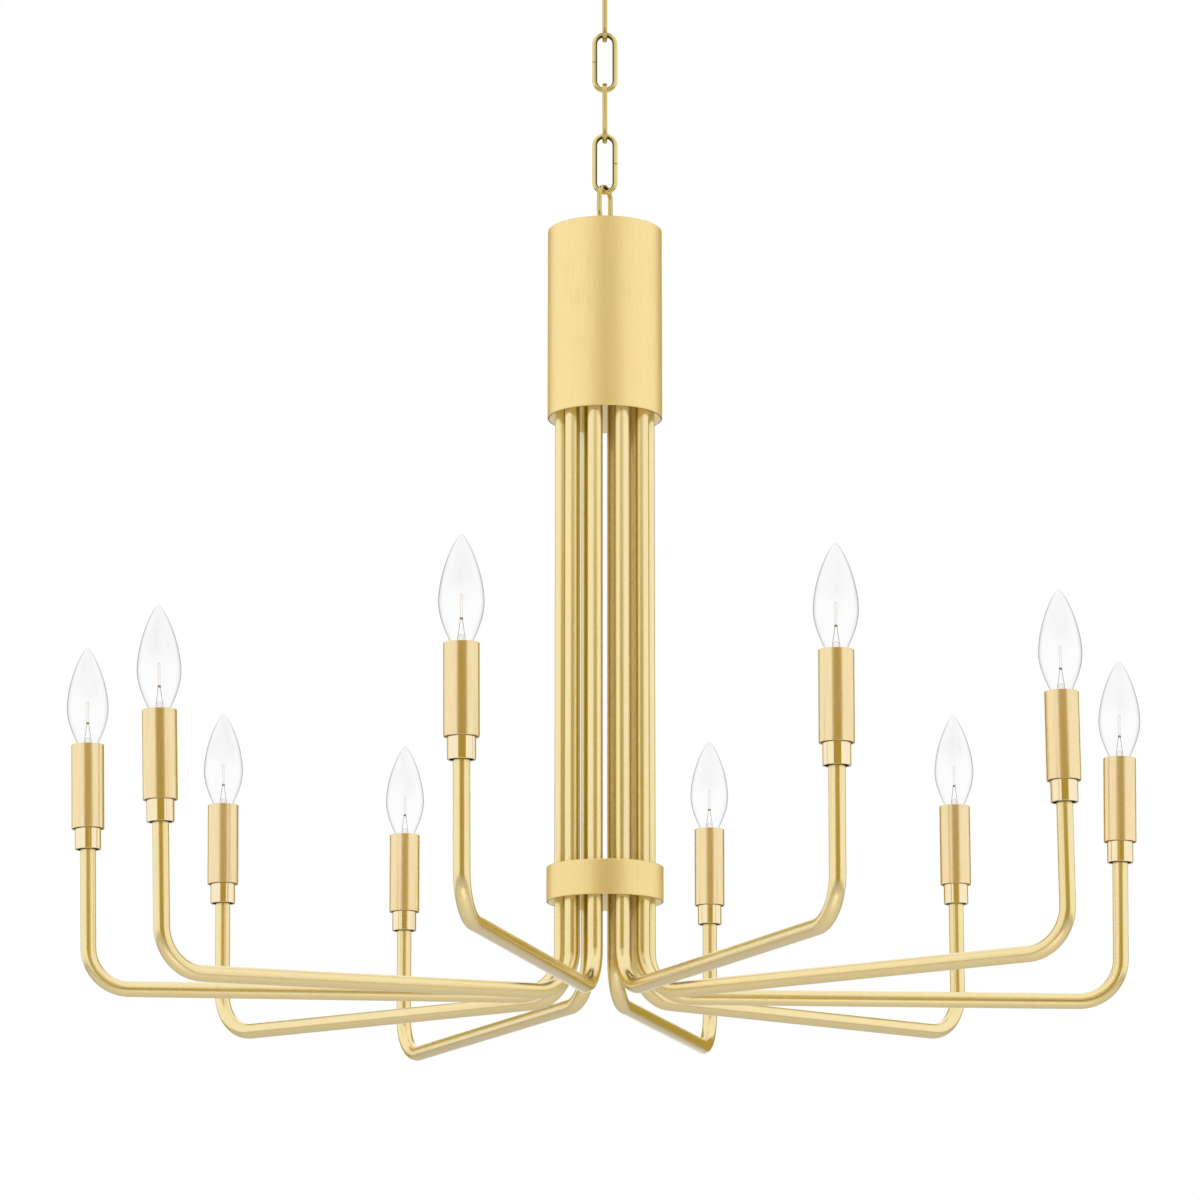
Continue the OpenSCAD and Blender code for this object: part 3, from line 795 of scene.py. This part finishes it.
def panel(name, centre, width, height, aim, mat, mirrored_only=True):
    """A flat board that faces a point. It is part of the studio, not of the object."""
    mesh = bpy.data.meshes.new(name)
    w, h = width / 2, height / 2
    mesh.from_pydata([(-w, -h, 0), (w, -h, 0), (w, h, 0), (-w, h, 0)], [], [(0, 1, 2, 3)])
    mesh.materials.append(mat)
    obj = put(name, mesh)
    obj.location = centre
    obj.rotation_euler = (Vector(aim) - Vector(centre)).to_track_quat("Z", "Y").to_euler()
    if mirrored_only:
        obj.visible_camera = False
        obj.visible_diffuse = False
        obj.visible_transmission = False
        obj.visible_shadow = False
    obj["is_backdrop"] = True


floor_mat, tree = new_material("floor_pale")
paint = {"Base Color": (0.88, 0.85, 0.80, 1), "Roughness": 0.9, "Specular IOR Level": 0.1}
show(tree, add(tree, "ShaderNodeBsdfPrincipled", paint))
place = (0, 0, low.z - FLOOR_DROP)
panel("floor", place, FLOOR_SIDE, FLOOR_SIDE, (0, 0, 0), floor_mat, mirrored_only=False)

# Warm dark boards give the metal its darker middle band and edges.
board, tree = new_material("board_warm")
glow = {"Color": (0.41, 0.305, 0.05, 1), "Strength": 1.0}
show(tree, add(tree, "ShaderNodeEmission", glow))
for name, azimuth, width, low_z, high_z in (
    ("board_front", 4.0, 5.6, -2.0, 0.75),
    ("board_chain", 4.0, 2.8, 1.5, 2.8),
    ("board_left", -152.0, 3.0, -2.0, 4.0),
    ("board_right", 148.0, 3.4, -2.0, 4.0),
):
    a = math.radians(azimuth)
    level = (low_z + high_z) / 2
    place = (BOARD_AWAY * math.sin(a), -BOARD_AWAY * math.cos(a), level)
    panel(name, place, width, high_z - low_z, (0, 0, level), board)

for name, place, width, height, watts in (
    ("softbox_left", (-3.0, -0.9, middle.z + 0.3), 1.6, 3.0, 16),
    ("softbox_right", (3.1, -0.5, middle.z + 0.2), 1.2, 3.0, 14),
    ("softbox_low", (0.3, -2.4, low.z - 0.5), 1.6, 1.0, 30),
    ("softbox_top", (0.4, -0.6, high.z + 2.2), 3.0, 3.0, 20),
):
    light = bpy.data.lights.new(name, "AREA")
    light.shape = "RECTANGLE"
    light.size, light.size_y = width, height
    light.energy = watts
    lamp = put(name, light)
    lamp.location = place
    lamp.rotation_euler = (middle - Vector(place)).to_track_quat("-Z", "Y").to_euler()
    lamp.visible_glossy = False

# The surroundings are plain white where they are seen, mirrored or looked at through glass.
world = bpy.data.worlds.new("studio")
scene.world = world
world.use_nodes = True
tree = world.node_tree
tree.nodes.clear()
rays = add(tree, "ShaderNodeLightPath").outputs
seen = number(tree, "MAXIMUM", rays["Is Camera Ray"], rays["Is Glossy Ray"])
seen = number(tree, "MAXIMUM", seen, rays["Is Transmission Ray"])
soft, white = (
    add(tree, "ShaderNodeBackground", {"Color": (1, 1, 1, 1), "Strength": strength}).outputs[0]
    for strength in (SKY_GLOW, 1.0)
)
both = add(tree, "ShaderNodeMixShader", {0: seen, 1: soft, 2: white})
add(tree, "ShaderNodeOutputWorld", {"Surface": both.outputs[0]})


# ---------------------------------------------------------------- camera

# The photograph looks up from below the lower ring, with a long lens.
CAMERA_AWAY = 3.969
CAMERA_ASIDE = -0.0043
CAMERA_DROP = 0.5907  # below the lower ring
CAMERA_TILT = 12.18
CAMERA_LENS = 139.7

lens = bpy.data.cameras.new("camera")
lens.sensor_width = 36.0
lens.lens = CAMERA_LENS
camera = put("camera", lens)
camera.location = (CAMERA_ASIDE, -CAMERA_AWAY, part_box("lower_ring")[0].z - CAMERA_DROP)
camera.rotation_euler = (math.radians(90 + CAMERA_TILT), 0, 0)
scene.camera = camera
scene.view_settings.view_transform = "Standard"
